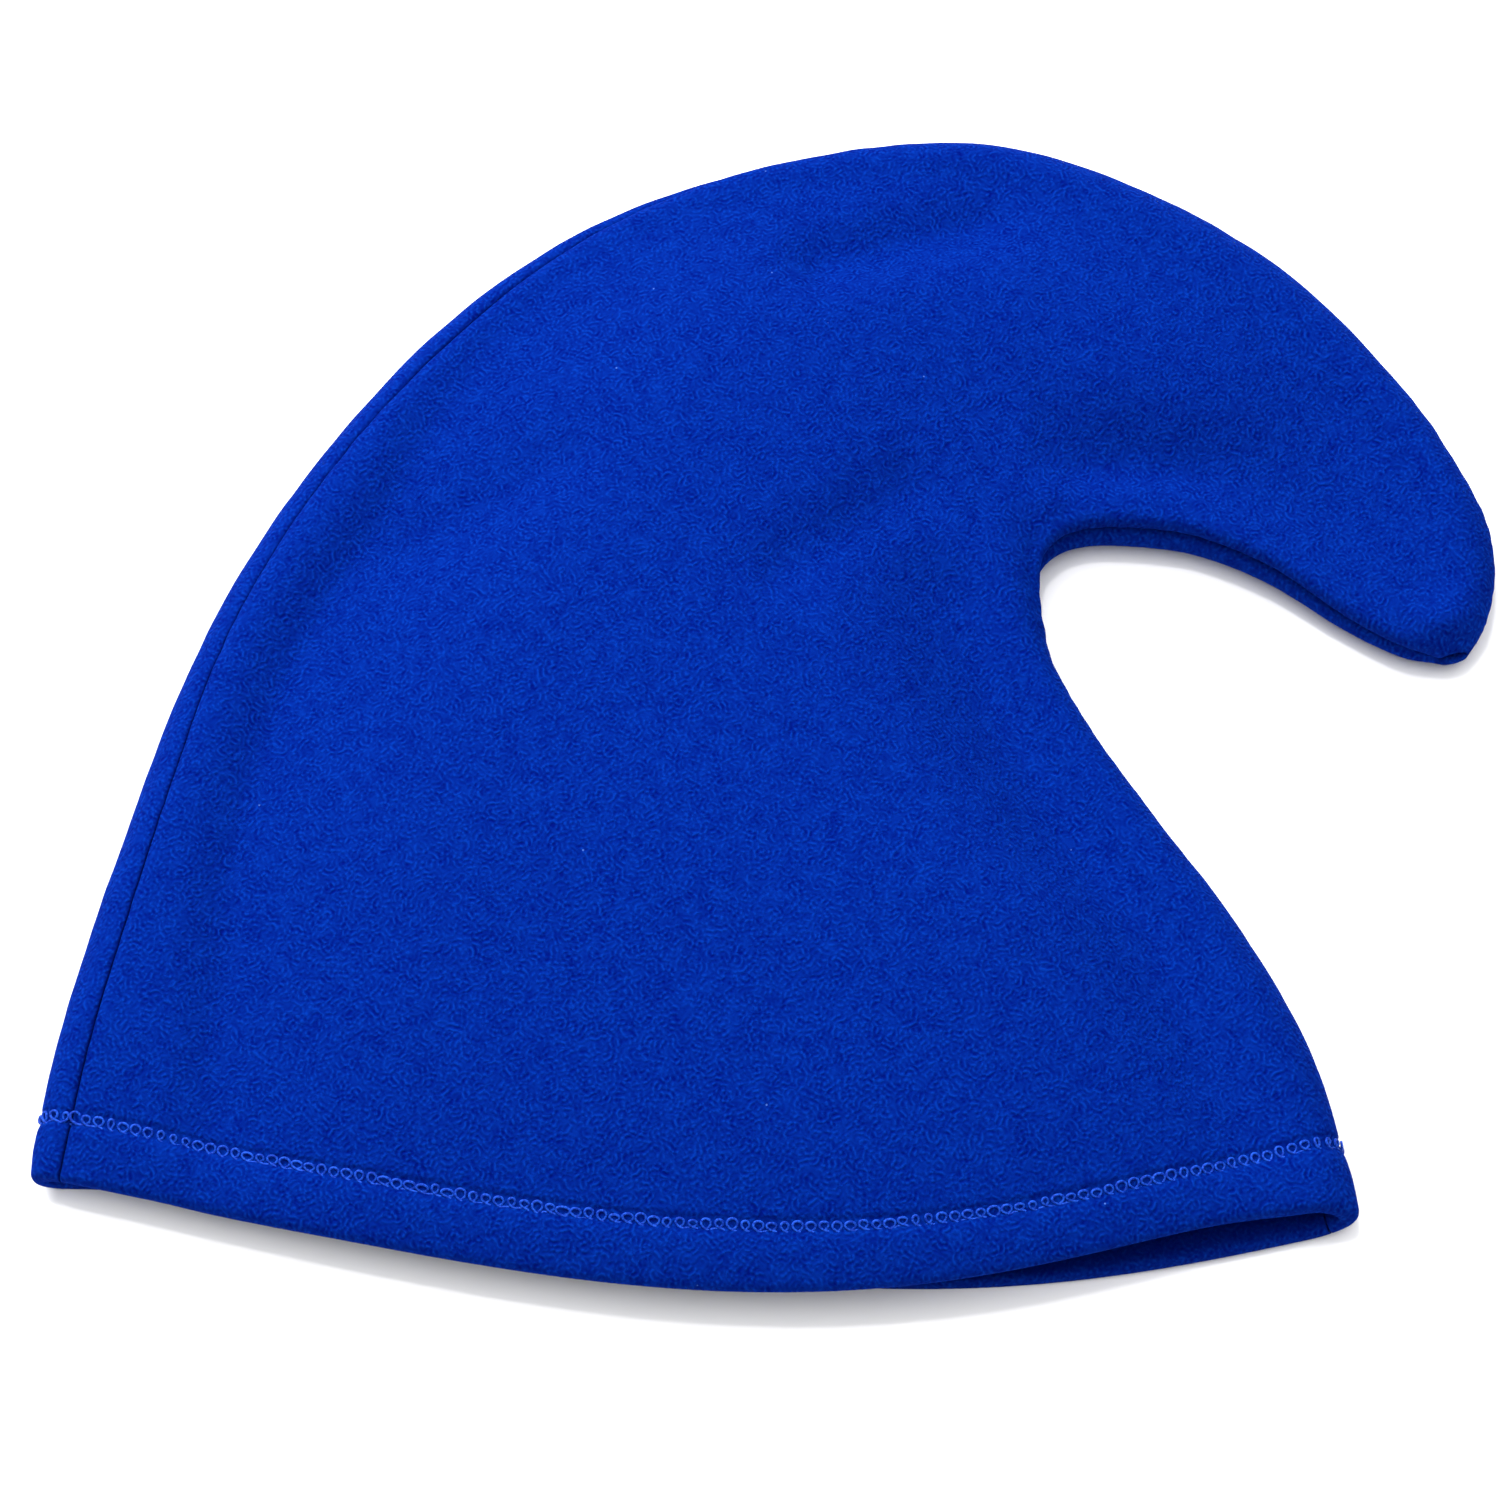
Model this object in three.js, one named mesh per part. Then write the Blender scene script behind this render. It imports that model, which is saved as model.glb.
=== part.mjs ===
// A curled gnome hat of soft felted fleece, laid on its side as it rests on a table.
// Two side panels are cut alike, sewn together along the back, round the curled tip and down
// the front, and turned right side out, so the seam allowances stand inside the hat.
// The mouth has a hem: the cloth is turned up inside and stitched.
// Lengths are in millimetres and angles in degrees. +X runs to the curled tip, +Y from the
// mouth to the crown, +Z up from the table. The origin is under the middle of the hat.
import * as THREE from "three";

const HAT_LENGTH = 318; // along X, back of the hem to the bulge of the curled tip
const HAT_DEPTH = 281; // along Y, lowest point of the hem to the top of the crown
const CLOTH = 2.2; // thickness of the fleece
const LAYER_GAP = 0.3; // between two layers that lie against each other
const SEAM_ALLOWANCE = 7;
const HEM_DEPTH = 13.2; // mouth's edge to the stitching
const HEM_TURNED_IN = 15.2; // how far the turned-up layer reaches inside
const TURNING_INSET = 11; // how far its ends stay in from the hat's outermost line
const HEM_GAP = 0.5; // between that layer and its panel
const HEM_PUFF = 0.7; // how far the doubled hem swells between edge and stitching
const STITCH_PULL = 0.7; // how deep the stitching draws the cloth in
const STITCH_PULL_WIDTH = 2.5;
const EDGE_HALF = 9; // height of the hat's outermost line over the table, where it is fullest
const EDGE_ROLL = 12; // how far in from the outermost line the rolled edge reaches its top
const CROWN_RISE = 11; // how far the crown swells above the top of its rolled edge
const CROWN_SLOPE = 75; // how far in from the outermost line the swelling goes on
const VALLEY_INSET = 25; // line of the shallow valley inside the rolled edge
const VALLEY_WIDTH = 9;
const VALLEY_DEPTH = 2.6;
const SEAM_GROOVE = 1.5; // how deep the seam line lies in the puffed cloth
const SEAM_GROOVE_WIDTH = 2.4;
const BOW_SKEW = 0.44; // how far the sagging mouth leans to the front
const FRONT_DRAW = 4.2; // how far that sag is drawn up again, near the front
const LOWER_TUCK = 9.7; // how far the hidden hem of the lower panel lies back from the upper one
const MOUTH_FADE = 45; // how soon the draw and the tuck fade, from the mouth up
const OPEN_SETBACK = 3.4; // how far the upper hem lies back where the mouth stands open
const OPEN_SETBACK_FADE = 12;
const ROW_SPACING = 11; // between sections, halfway between the hat's middle and its back
const POINTS_ACROSS = 18; // in a panel's section, between the close rows beside its seams
const BEND_WEIGHT = 25; // length that counts as much as a radian of bend when points are spread
const TIP_LAYER_SHARE = 0.2; // most that a layer may take of a panel's section, at the narrow tip
const TIP_ALLOWANCE_SHARE = 0.4; // the same for a seam allowance

// Sections from the mouth to the tip. backX, backY, frontX and frontY place the hat's outermost
// line, as shares of HAT_LENGTH and HAT_DEPTH from the middle of the hat. bow is how far the
// section's middle sags to the mouth, as a share of HAT_DEPTH. backHalf and frontHalf are the
// outermost line's height, as shares of EDGE_HALF. rise is the swelling, as a share of
// CROWN_RISE, and lean moves it towards the front. valley is a share of VALLEY_DEPTH. backSeam
// and frontSeam say how far the seam has rolled up onto the top, in degrees round the edge.
const SECTIONS = [
  { backX: -0.503, backY: -0.411, frontX: 0.376, frontY: -0.44, bow: 0.083,
    backHalf: 0.62, frontHalf: 0.8, rise: 0.2, lean: 0.6, valley: 0, backSeam: 60, frontSeam: -60 },
  { backX: -0.484, backY: -0.292, frontX: 0.351, frontY: -0.316, bow: 0.085,
    backHalf: 0.88, frontHalf: 0.95, rise: 0.58, lean: 0.4, valley: 0.6, backSeam: 58, frontSeam: -48 },
  { backX: -0.4445, backY: -0.113, frontX: 0.3065, frontY: -0.21, bow: 0.043,
    backHalf: 1, frontHalf: 1, rise: 0.95, lean: 0.2, valley: 0.9, backSeam: 56, frontSeam: -38 },
  { backX: -0.4015, backY: 0.0425, frontX: 0.2585, frontY: -0.126, bow: 0.03,
    backHalf: 1, frontHalf: 1, rise: 1, lean: 0, valley: 1, backSeam: 52, frontSeam: -30 },
  { backX: -0.339, backY: 0.182, frontX: 0.2165, frontY: -0.051, bow: 0.015,
    backHalf: 1, frontHalf: 1, rise: 1, lean: 0, valley: 1, backSeam: 45, frontSeam: -22 },
  { backX: -0.2505, backY: 0.316, frontX: 0.1885, frontY: 0.011, bow: 0.005,
    backHalf: 1, frontHalf: 1, rise: 0.95, lean: 0, valley: 0.8, backSeam: 34, frontSeam: -14 },
  { backX: -0.144, backY: 0.4155, frontX: 0.18, frontY: 0.05, bow: 0,
    backHalf: 1, frontHalf: 1, rise: 0.9, lean: 0, valley: 0.6, backSeam: 20, frontSeam: -4 },
  { backX: -0.013, backY: 0.478, frontX: 0.178, frontY: 0.083, bow: 0,
    backHalf: 1, frontHalf: 1, rise: 0.85, lean: 0, valley: 0.5, backSeam: 6, frontSeam: 9 },
  { backX: 0.132, backY: 0.5, frontX: 0.184, frontY: 0.108, bow: 0,
    backHalf: 1, frontHalf: 1, rise: 0.8, lean: 0, valley: 0.5, backSeam: -4, frontSeam: 18 },
  { backX: 0.245, backY: 0.463, frontX: 0.204, frontY: 0.1245, bow: 0,
    backHalf: 1, frontHalf: 1, rise: 0.75, lean: 0, valley: 0.4, backSeam: -8, frontSeam: 23 },
  { backX: 0.358, backY: 0.38, frontX: 0.24, frontY: 0.1275, bow: 0,
    backHalf: 1, frontHalf: 1, rise: 0.7, lean: 0, valley: 0.3, backSeam: -10, frontSeam: 25 },
  { backX: 0.439, backY: 0.27, frontX: 0.288, frontY: 0.1195, bow: 0,
    backHalf: 1, frontHalf: 1, rise: 0.6, lean: 0, valley: 0.2, backSeam: -10, frontSeam: 25 },
  { backX: 0.487, backY: 0.168, frontX: 0.338, frontY: 0.094, bow: 0,
    backHalf: 0.98, frontHalf: 1, rise: 0.5, lean: 0, valley: 0, backSeam: -8, frontSeam: 23 },
  { backX: 0.498, backY: 0.105, frontX: 0.385, frontY: 0.056, bow: 0,
    backHalf: 0.92, frontHalf: 0.95, rise: 0.4, lean: 0, valley: 0, backSeam: -6, frontSeam: 19 },
  { backX: 0.491, backY: 0.059, frontX: 0.425, frontY: 0.031, bow: 0,
    backHalf: 0.85, frontHalf: 0.88, rise: 0.2, lean: 0, valley: 0, backSeam: -3, frontSeam: 14 },
  { backX: 0.476, backY: 0.031, frontX: 0.453, frontY: 0.025, bow: 0,
    backHalf: 0.75, frontHalf: 0.75, rise: 0, lean: 0, valley: 0, backSeam: 0, frontSeam: 9 },
];

// Soft dents in the upper panel: the ends of each, as shares of HAT_LENGTH and HAT_DEPTH from
// the middle of the hat, its half width and its depth.
const DENTS = [
  { fromX: -0.11, fromY: 0.37, toX: 0.13, toY: 0.455, width: 7, depth: 2.2 },
  { fromX: 0.01, fromY: 0.14, toX: 0.1, toY: 0.225, width: 11, depth: 2 },
  { fromX: 0.21, fromY: 0.225, toX: 0.29, toY: 0.225, width: 9, depth: 2.6 },
];

const LAST = SECTIONS.length - 1;
const UP = new THREE.Vector3(0, 0, 1);

// A column of SECTIONS as a smooth function of t, which counts the rows.
function column(name) {
  const spline = new THREE.SplineCurve(SECTIONS.map((row, k) => new THREE.Vector2(k, row[name])));
  return (t) => spline.getPoint(THREE.MathUtils.clamp(t / LAST, 0, 1)).y;
}

const at = Object.fromEntries(Object.keys(SECTIONS[0]).map((name) => [name, column(name)]));
const backLine = (t) => new THREE.Vector3(at.backX(t) * HAT_LENGTH, at.backY(t) * HAT_DEPTH, 0);
const frontLine = (t) => new THREE.Vector3(at.frontX(t) * HAT_LENGTH, at.frontY(t) * HAT_DEPTH, 0);

// How squarely a section meets an outermost line: 1 where it crosses at a right angle. Round the
// tip the line turns along the section, and a least value keeps the edge rolled there too.
function squareness(line, t, across) {
  const step = 0.02;
  const least = 0.25;
  const along = line(Math.min(t + step, LAST)).sub(line(Math.max(t - step, 0))).normalize();
  return Math.max(least, new THREE.Vector3().crossVectors(along, across).length());
}

// Quarter of an ellipse: 0 on the outermost line, 1 where the rolled edge reaches its top.
function roll(inset, reach) {
  const left = 1 - Math.min(inset, reach) / reach;
  return Math.sqrt(Math.max(0, 1 - left * left));
}

// How far the crown has swelled at an inset from the outermost line.
function swell(inset) {
  const left = 1 - Math.min(inset, CROWN_SLOPE) / CROWN_SLOPE;
  return 1 - left * left;
}

function bell(distance, width) {
  return Math.exp(-((distance / width) ** 2));
}

// A hump over the share of the way across, 0 at both ends and 1 at its top, at a / (a + b).
function hump(share, a, b) {
  const top = a / (a + b);
  return (share / top) ** a * ((1 - share) / (1 - top)) ** b;
}

// How deep the dents are at a place.
function dents(x, y) {
  let sum = 0;
  for (const { fromX, fromY, toX, toY, width, depth } of DENTS) {
    const from = new THREE.Vector3(fromX * HAT_LENGTH, fromY * HAT_DEPTH, 0);
    const to = new THREE.Vector3(toX * HAT_LENGTH, toY * HAT_DEPTH, 0);
    const nearest = new THREE.Line3(from, to).closestPointToPoint(new THREE.Vector3(x, y, 0), true, from.clone());
    sum += depth * bell(Math.hypot(x - nearest.x, y - nearest.y), width);
  }
  return sum;
}

// The facts of one section that all its points share.
function sectionAt(t) {
  const back = backLine(t);
  const front = frontLine(t);
  const chord = front.clone().sub(back);
  const across = chord.clone().normalize();
  const fromMouth = lookUp(STEPS, middleRun, t);
  const fading = Math.exp(-fromMouth / MOUTH_FADE);
  return {
    t,
    back,
    chord,
    backReach: chord.length() * squareness(backLine, t, across),
    frontReach: chord.length() * squareness(frontLine, t, across),
    draw: FRONT_DRAW * fading,
    tuck: LOWER_TUCK * fading,
    setback: OPEN_SETBACK * Math.exp(-fromMouth / OPEN_SETBACK_FADE),
  };
}

// Outer surface of the cloth. turn goes once round the section: 0 on the back's outermost line,
// over the top to PI on the front's, and back underneath. w is the share of the way across.
function outerPoint(section, turn) {
  const { t, back, chord, backReach, frontReach, draw, tuck, setback } = section;
  const w = (1 - Math.cos(turn)) / 2;
  const above = Math.sin(turn) >= 0;
  const place = back.clone().addScaledVector(chord, w);
  place.y -= at.bow(t) * HAT_DEPTH * 4 * w * (1 - w) * (1 + BOW_SKEW * (2 * w - 1));
  place.y += draw * hump(w, 5, 1) + (above ? setback * hump(w, 8, 1) : tuck * hump(w, 1, 2));
  const fromBack = w * backReach;
  const fromFront = (1 - w) * frontReach;
  const half = EDGE_HALF * THREE.MathUtils.lerp(at.backHalf(t), at.frontHalf(t), w);
  const rolled = roll(fromBack, EDGE_ROLL * at.backHalf(t)) * roll(fromFront, EDGE_ROLL * at.frontHalf(t));
  if (!above) {
    place.z = half * (1 - rolled);
    return place;
  }
  const leaning = 1 + at.lean(t) * (2 * w - 1);
  const rise = CROWN_RISE * at.rise(t) * swell(fromBack) * swell(fromFront) * leaning;
  const beside = bell(fromBack - VALLEY_INSET, VALLEY_WIDTH) + bell(fromFront - VALLEY_INSET, VALLEY_WIDTH);
  const valley = VALLEY_DEPTH * at.valley(t) * Math.min(1, beside);
  place.z = half * (1 + rolled) + rise - valley - dents(place.x, place.y) * rolled;
  return place;
}

// A place on the surface: its point, the way out of the hat, and the way on round the section.
function surface(section, turn) {
  const { t } = section;
  const step = 0.01;
  const point = outerPoint(section, turn);
  const around = outerPoint(section, turn + step).sub(outerPoint(section, turn - step)).normalize();
  const near = outerPoint(sectionAt(Math.max(t - step, 0)), turn);
  const along = outerPoint(sectionAt(Math.min(t + step, LAST)), turn).sub(near);
  return { point, out: new THREE.Vector3().crossVectors(around, along).normalize(), around };
}

// Lengths along the hat, from the mouth's edge: down its middle, and halfway to its back.
const middle = (t) => {
  const point = backLine(t).lerp(frontLine(t), 0.5);
  point.y -= at.bow(t) * HAT_DEPTH;
  return point;
};
const STEPS = Array.from({ length: 601 }, (_, i) => (i * LAST) / 600);
const middleRun = runOf(STEPS.map(middle));
const pace = runOf(STEPS.map(backLine)).map((length, i) => (length + middleRun[i]) / 2);

// The turn at an inset from the back's outermost line.
const insetTurn = (inset, reach) => Math.acos(1 - 2 * Math.min(inset / reach, 0.45));

// How far round the edge a seam has rolled, as a turn. Below the outermost line it is negative.
function seamTurn(degrees, half, reach) {
  const inset = EDGE_ROLL * half * (1 - Math.cos(THREE.MathUtils.degToRad(degrees)));
  return Math.sign(degrees) * insetTurn(inset, reach);
}
const backSeam = ({ t, backReach }) => seamTurn(at.backSeam(t), at.backHalf(t), backReach);
const frontSeam = ({ t, frontReach }) => Math.PI - seamTurn(at.frontSeam(t), at.frontHalf(t), frontReach);

// Places along a section, as spread chooses them from the run of its fine steps. The run counts
// length, and the measure adds a share for bending, so that even steps in it suit both.
function walk(section, fromTurn, toTurn, spread) {
  const turns = Array.from({ length: 241 }, (_, i) => THREE.MathUtils.lerp(fromTurn, toTurn, i / 240));
  const points = turns.map((turn) => outerPoint(section, turn));
  const run = [0];
  const measure = [0];
  for (let i = 1; i < points.length; i++) {
    const step = points[i].clone().sub(points[i - 1]);
    const bend = i > 1 ? step.angleTo(points[i - 1].clone().sub(points[i - 2])) : 0;
    run.push(run[i - 1] + step.length());
    measure.push(measure[i - 1] + step.length() + BEND_WEIGHT * bend);
  }
  const distances = spread(run, measure);
  const places = distances.map((distance) => surface(section, lookUp(run, turns, distance)));
  return { total: run.at(-1), distances, places };
}

// Length along a row of points, up to each of them.
function runOf(points) {
  const run = [0];
  for (let i = 1; i < points.length; i++) run.push(run[i - 1] + points[i].distanceTo(points[i - 1]));
  return run;
}

// The value of one list at the place where the other, a rising one, reaches a level.
function lookUp(rising, values, level) {
  let [low, high] = [0, rising.length - 1];
  while (high - low > 1) {
    const half = (low + high) >> 1;
    if (rising[half] < level) low = half;
    else high = half;
  }
  const share = (level - rising[low]) / Math.max(rising[high] - rising[low], 1e-9);
  return THREE.MathUtils.lerp(values[low], values[high], share);
}

// Distances of count places, from one place of the run to another, even in the measure.
function evenly(run, measure, from, to, count) {
  const [start, end] = [lookUp(run, measure, from), lookUp(run, measure, to)];
  const levels = Array.from({ length: count }, (_, i) => THREE.MathUtils.lerp(start, end, i / (count - 1)));
  return levels.map((level) => lookUp(measure, run, level));
}

// Close points beside both seams, where the cloth dips into the seam line, and others between.
// The first ones lie behind the seam allowance, so the inner side leaves them out.
const BESIDE_SEAM = [0, 0.55, 1.4, 2.3].map((cloths) => cloths * CLOTH);
const INNER_SKIP = 2;
function panelDistances(run, measure) {
  const total = run.at(-1);
  const closeUp = Math.min(1, total / (10 * CLOTH));
  const beside = BESIDE_SEAM.map((distance) => distance * closeUp);
  const inner = beside.pop();
  const between = evenly(run, measure, inner, total - inner, POINTS_ACROSS);
  return [...beside, ...between, ...beside.map((distance) => total - distance).reverse()];
}

// The rows of a panel: how far each lies from the mouth's edge, and how far its outer surface is
// drawn in to round that edge off.
function panelRows() {
  const rounding = [75, 50, 25, 0].map((degrees) => {
    const angle = THREE.MathUtils.degToRad(degrees);
    return { length: CLOTH * (1 - Math.sin(angle)), drawnIn: CLOTH * (1 - Math.cos(angle)) };
  });
  const hem = [0.33, 0.62].map((share) => ({ length: HEM_DEPTH * share, drawnIn: 0 }));
  const stitching = [-1, 0, 1].map((side) => ({ length: HEM_DEPTH + side * STITCH_PULL_WIDTH, drawnIn: 0 }));
  const start = HEM_DEPTH + 2.5 * STITCH_PULL_WIDTH; // the first plain row
  const first = lookUp(middleRun, pace, start);
  const whole = pace.at(-1) - first;
  const count = Math.ceil(whole / ROW_SPACING);
  const rest = Array.from({ length: count + 1 }, (_, i) => {
    const share = i / count;
    const reached = first + whole * (share + (0.25 * Math.sin(Math.PI * share)) / Math.PI);
    return { length: lookUp(pace, middleRun, reached), drawnIn: 0 };
  });
  return [...rounding, ...hem, ...stitching, ...rest];
}

// How far the hem swells out of the plain surface, or its stitching draws it in. Cloth that
// rests on the table stays flat.
function hemRelief(length) {
  const swelling = length < HEM_DEPTH ? HEM_PUFF * Math.sin((Math.PI * length) / HEM_DEPTH) : 0;
  return swelling - STITCH_PULL * bell(length - HEM_DEPTH, STITCH_PULL_WIDTH);
}

// The end face of a ring, as triangles of ring places: a strip between its outer side and its
// inner side, which may have fewer points. Both are lists of [place in the ring, distance].
function strip(outer, inner) {
  const triangles = [];
  let [o, i] = [0, 0];
  while (o + 1 < outer.length || i + 1 < inner.length) {
    const nextOuter = o + 1 < outer.length ? outer[o + 1][1] : Infinity;
    const nextInner = i + 1 < inner.length ? inner[i + 1][1] : Infinity;
    if (nextOuter <= nextInner) {
      triangles.push([outer[o][0], outer[o + 1][0], inner[i][0]]);
      o += 1;
    } else {
      triangles.push([outer[o][0], inner[i + 1][0], inner[i][0]]);
      i += 1;
    }
  }
  return triangles;
}

// A closed body from equal rings of points and the triangles of its end face.
function bodyOf(rings, endFace) {
  const count = rings[0].length;
  const top = (rings.length - 1) * count;
  const faces = [];
  for (let r = 0; r + 1 < rings.length; r++) {
    for (let c = 0; c < count; c++) {
      const next = (c + 1) % count;
      const [a, b] = [r * count + c, r * count + next];
      const rising = rings[r][c].distanceTo(rings[r + 1][next]);
      const falling = rings[r][next].distanceTo(rings[r + 1][c]);
      if (rising < falling) faces.push(a, b, b + count, a, b + count, a + count);
      else faces.push(a, b, a + count, b, b + count, a + count);
    }
  }
  for (const [a, b, c] of endFace) faces.push(c, b, a, top + a, top + b, top + c);
  const geometry = new THREE.BufferGeometry().setFromPoints(rings.flat());
  geometry.setIndex(faces);
  geometry.computeVertexNormals();
  return geometry;
}

// One side panel between its two seams, with a seam allowance turned in along each.
function panel(fromTurn, toTurn) {
  const rows = panelRows();
  const sections = rows.map((row) => sectionAt(lookUp(middleRun, STEPS, row.length)));
  const walks = sections.map((section) => walk(section, fromTurn(section), toTurn(section), panelDistances));
  const rings = rows.map((row, r) => {
    const { total, distances, places } = walks[r];
    const cloth = Math.min(CLOTH, TIP_LAYER_SHARE * total);
    const room = EDGE_HALF * Math.min(at.backHalf(sections[r].t), at.frontHalf(sections[r].t));
    const allowance = Math.min(SEAM_ALLOWANCE, room, TIP_ALLOWANCE_SHARE * total);
    const reliefAt = (c) => hemRelief(row.length) * Math.min(1, 1 + places[c].out.z);
    const depthAt = (c) => {
      const groove = SEAM_GROOVE * bell(Math.min(distances[c], total - distances[c]), SEAM_GROOVE_WIDTH);
      return Math.min(groove + row.drawnIn - reliefAt(c), 0.7 * cloth);
    };
    const deep = ({ point, out }, depth) => point.clone().addScaledVector(out, -depth);
    const outer = places.map((place, c) => deep(place, depthAt(c)));
    const inner = places.map((place, c) => deep(place, cloth - Math.max(0, reliefAt(c))));
    // The seam's end of the section: its face against the other panel, and the allowance behind.
    const seamEnd = (c, side) => {
      const corner = (depth, wide) => deep(places[c], depth).addScaledVector(places[c].around, side * wide);
      const face = LAYER_GAP / 2;
      return {
        lip: corner(depthAt(c), face),
        foot: corner(allowance, face),
        heel: corner(allowance, face + cloth),
        root: corner(1.2 * cloth, face + cloth),
      };
    };
    const first = seamEnd(0, 1);
    const last = seamEnd(places.length - 1, -1);
    return [
      first.lip, ...outer.slice(1, -1), last.lip, last.foot, last.heel, last.root,
      ...inner.slice(INNER_SKIP, -INNER_SKIP).reverse(), first.root, first.heel, first.foot,
    ];
  });
  return bodyOf(rings, panelEndFace(walks[0].distances));
}

// The ring places of a panel follow each other round its section, as panel() lists them.
function panelEndFace(distances) {
  const count = distances.length;
  const [foot, heel, root] = [count, count + 1, count + 2];
  const innerCount = count - 2 * INNER_SKIP;
  const firstRoot = root + innerCount + 1;
  const outer = distances.map((distance, c) => [c, distance]);
  const inner = distances.slice(INNER_SKIP, -INNER_SKIP).map((distance, c) => [root + innerCount - c, distance]);
  const roots = [[firstRoot, 0.1], ...inner, [root, distances[count - 1] - 0.1]];
  return [
    [0, firstRoot, firstRoot + 2],
    [firstRoot, firstRoot + 1, firstRoot + 2],
    ...strip(outer, roots),
    [count - 1, foot, root],
    [foot, heel, root],
  ];
}

// The layer of a panel's hem that is turned up inside, between the hat's two rolled edges.
function turnedHem(underneath) {
  const depth = CLOTH + HEM_GAP;
  const rounding = [75, 50, 25].map((degrees) => {
    const angle = THREE.MathUtils.degToRad(degrees);
    return { length: CLOTH * (1 - Math.sin(angle)), short: CLOTH * (1 - Math.cos(angle)) };
  });
  const shares = [0.15, 0.33, 0.62, 1 - STITCH_PULL_WIDTH / HEM_DEPTH, 1, HEM_TURNED_IN / HEM_DEPTH];
  const rows = [...rounding, ...shares.map((share) => ({ length: HEM_DEPTH * share, short: 0 }))];
  const spread = (run, measure) => evenly(run, measure, 0, run.at(-1), POINTS_ACROSS);
  const rings = rows.map((row) => {
    const section = sectionAt(lookUp(middleRun, STEPS, row.length));
    const from = insetTurn(TURNING_INSET, section.backReach);
    const to = Math.PI - insetTurn(TURNING_INSET, section.frontReach);
    const span = underneath ? [2 * Math.PI - to, 2 * Math.PI - from] : [from, to];
    const { places } = walk(section, ...span, spread);
    const near = places.map(({ point, out }) => point.clone().addScaledVector(out, -depth));
    const far = places.map(({ point, out }) => point.clone().addScaledVector(out, row.short - depth - CLOTH));
    return [...near, ...far.reverse()];
  });
  const near = Array.from({ length: POINTS_ACROSS }, (_, c) => [c, c]);
  const far = near.map(([, c]) => [2 * POINTS_ACROSS - 1 - c, c]);
  return bodyOf(rings, strip(near, far));
}

const backSeamUnder = (section) => backSeam(section) + 2 * Math.PI;

const fleece = () => new THREE.MeshStandardMaterial({ color: 0x062fa4, roughness: 0.95, metalness: 0 });
const pieces = {
  right_panel: panel(backSeam, frontSeam),
  left_panel: panel(frontSeam, backSeamUnder),
  right_hem_turning: turnedHem(false),
  left_hem_turning: turnedHem(true),
};

// The middle of the footprint goes to the origin.
const footprint = new THREE.Box3();
for (const geometry of Object.values(pieces)) {
  geometry.computeBoundingBox();
  footprint.union(geometry.boundingBox);
}
const middlePoint = footprint.getCenter(new THREE.Vector3()).projectOnPlane(UP);

const hat = new THREE.Group();
hat.name = "gnome_hat";
for (const [name, geometry] of Object.entries(pieces)) {
  const mesh = new THREE.Mesh(geometry, fleece());
  mesh.name = name;
  mesh.position.copy(middlePoint).negate();
  hat.add(mesh);
}

export default hat;
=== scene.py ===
"""A curled gnome hat of blue felted fleece, dressed over its solids as it lies on a table.

The hat is made as it is sewn. Each side panel is one sheet of cloth with its thickness, which runs
from the turned-up layer of the hem, round the fold at the mouth and over the hat to its curled tip,
with a seam allowance turned in along both seams. A row of looped stitches holds the hem.
Lengths are in metres: +X runs to the curled tip, +Y from the mouth to the crown, +Z up.
"""

import logging
import math
from dataclasses import astuple, dataclass, field
from enum import Enum

import bpy
import numpy as np
from mathutils import Matrix, Vector


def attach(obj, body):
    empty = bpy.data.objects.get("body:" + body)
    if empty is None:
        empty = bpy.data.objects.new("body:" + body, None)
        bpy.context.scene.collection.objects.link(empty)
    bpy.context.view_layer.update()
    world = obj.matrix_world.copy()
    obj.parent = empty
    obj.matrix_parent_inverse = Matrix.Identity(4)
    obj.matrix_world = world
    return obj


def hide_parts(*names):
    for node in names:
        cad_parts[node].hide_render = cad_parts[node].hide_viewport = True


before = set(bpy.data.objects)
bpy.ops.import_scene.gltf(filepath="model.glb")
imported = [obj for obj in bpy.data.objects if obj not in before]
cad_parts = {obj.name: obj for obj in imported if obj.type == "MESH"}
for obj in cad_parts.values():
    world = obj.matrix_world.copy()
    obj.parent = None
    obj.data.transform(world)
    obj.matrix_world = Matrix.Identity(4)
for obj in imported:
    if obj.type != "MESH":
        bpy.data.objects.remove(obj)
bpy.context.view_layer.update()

MM = 0.001
UP = np.array([0.0, 0.0, 1.0])
TINY = 1e-6
log = logging.getLogger("gnome_hat")


class Edge(Enum):
    """The hat's two outermost lines, which run from the mouth to the tip."""

    BACK = "back"
    FRONT = "front"


class Side(Enum):
    """The two panels: the wearer's right one lies on top, the left one on the table."""

    RIGHT = "right"
    LEFT = "left"


@dataclass(frozen=True)
class Section:
    """One section of the hat, from its back line to its front line.

    The places are shares of the hat's length and depth, the heights of its edge height, and the
    valleys of their depth and their inset from the back and the front line. The seams are degrees
    round the rolled edge, counted up onto the top of the hat.
    """

    back: tuple[float, float]
    front: tuple[float, float]
    bow: float = 0.0
    halves: tuple[float, float] = (1.0, 1.0)
    rise: float = 1.0
    lean: float = 0.0
    valleys: tuple[float, float] = (0.0, 0.0)
    insets: tuple[float, float] = (1.0, 1.0)
    seams: tuple[float, float] = (0.0, 0.0)
    crease: float = 0.0

    def row(self) -> list[float]:
        """Return the section's values in the order of COLUMNS."""
        return [*self.back, *self.front, self.bow, *self.halves, self.rise, self.lean,
                *self.valleys, *self.insets, *self.seams, self.crease]


COLUMNS = ("back_x", "back_y", "front_x", "front_y", "bow", "back_half", "front_half", "rise",
           "lean", "back_valley", "front_valley", "back_inset", "front_inset", "back_seam",
           "front_seam", "crease")

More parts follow.
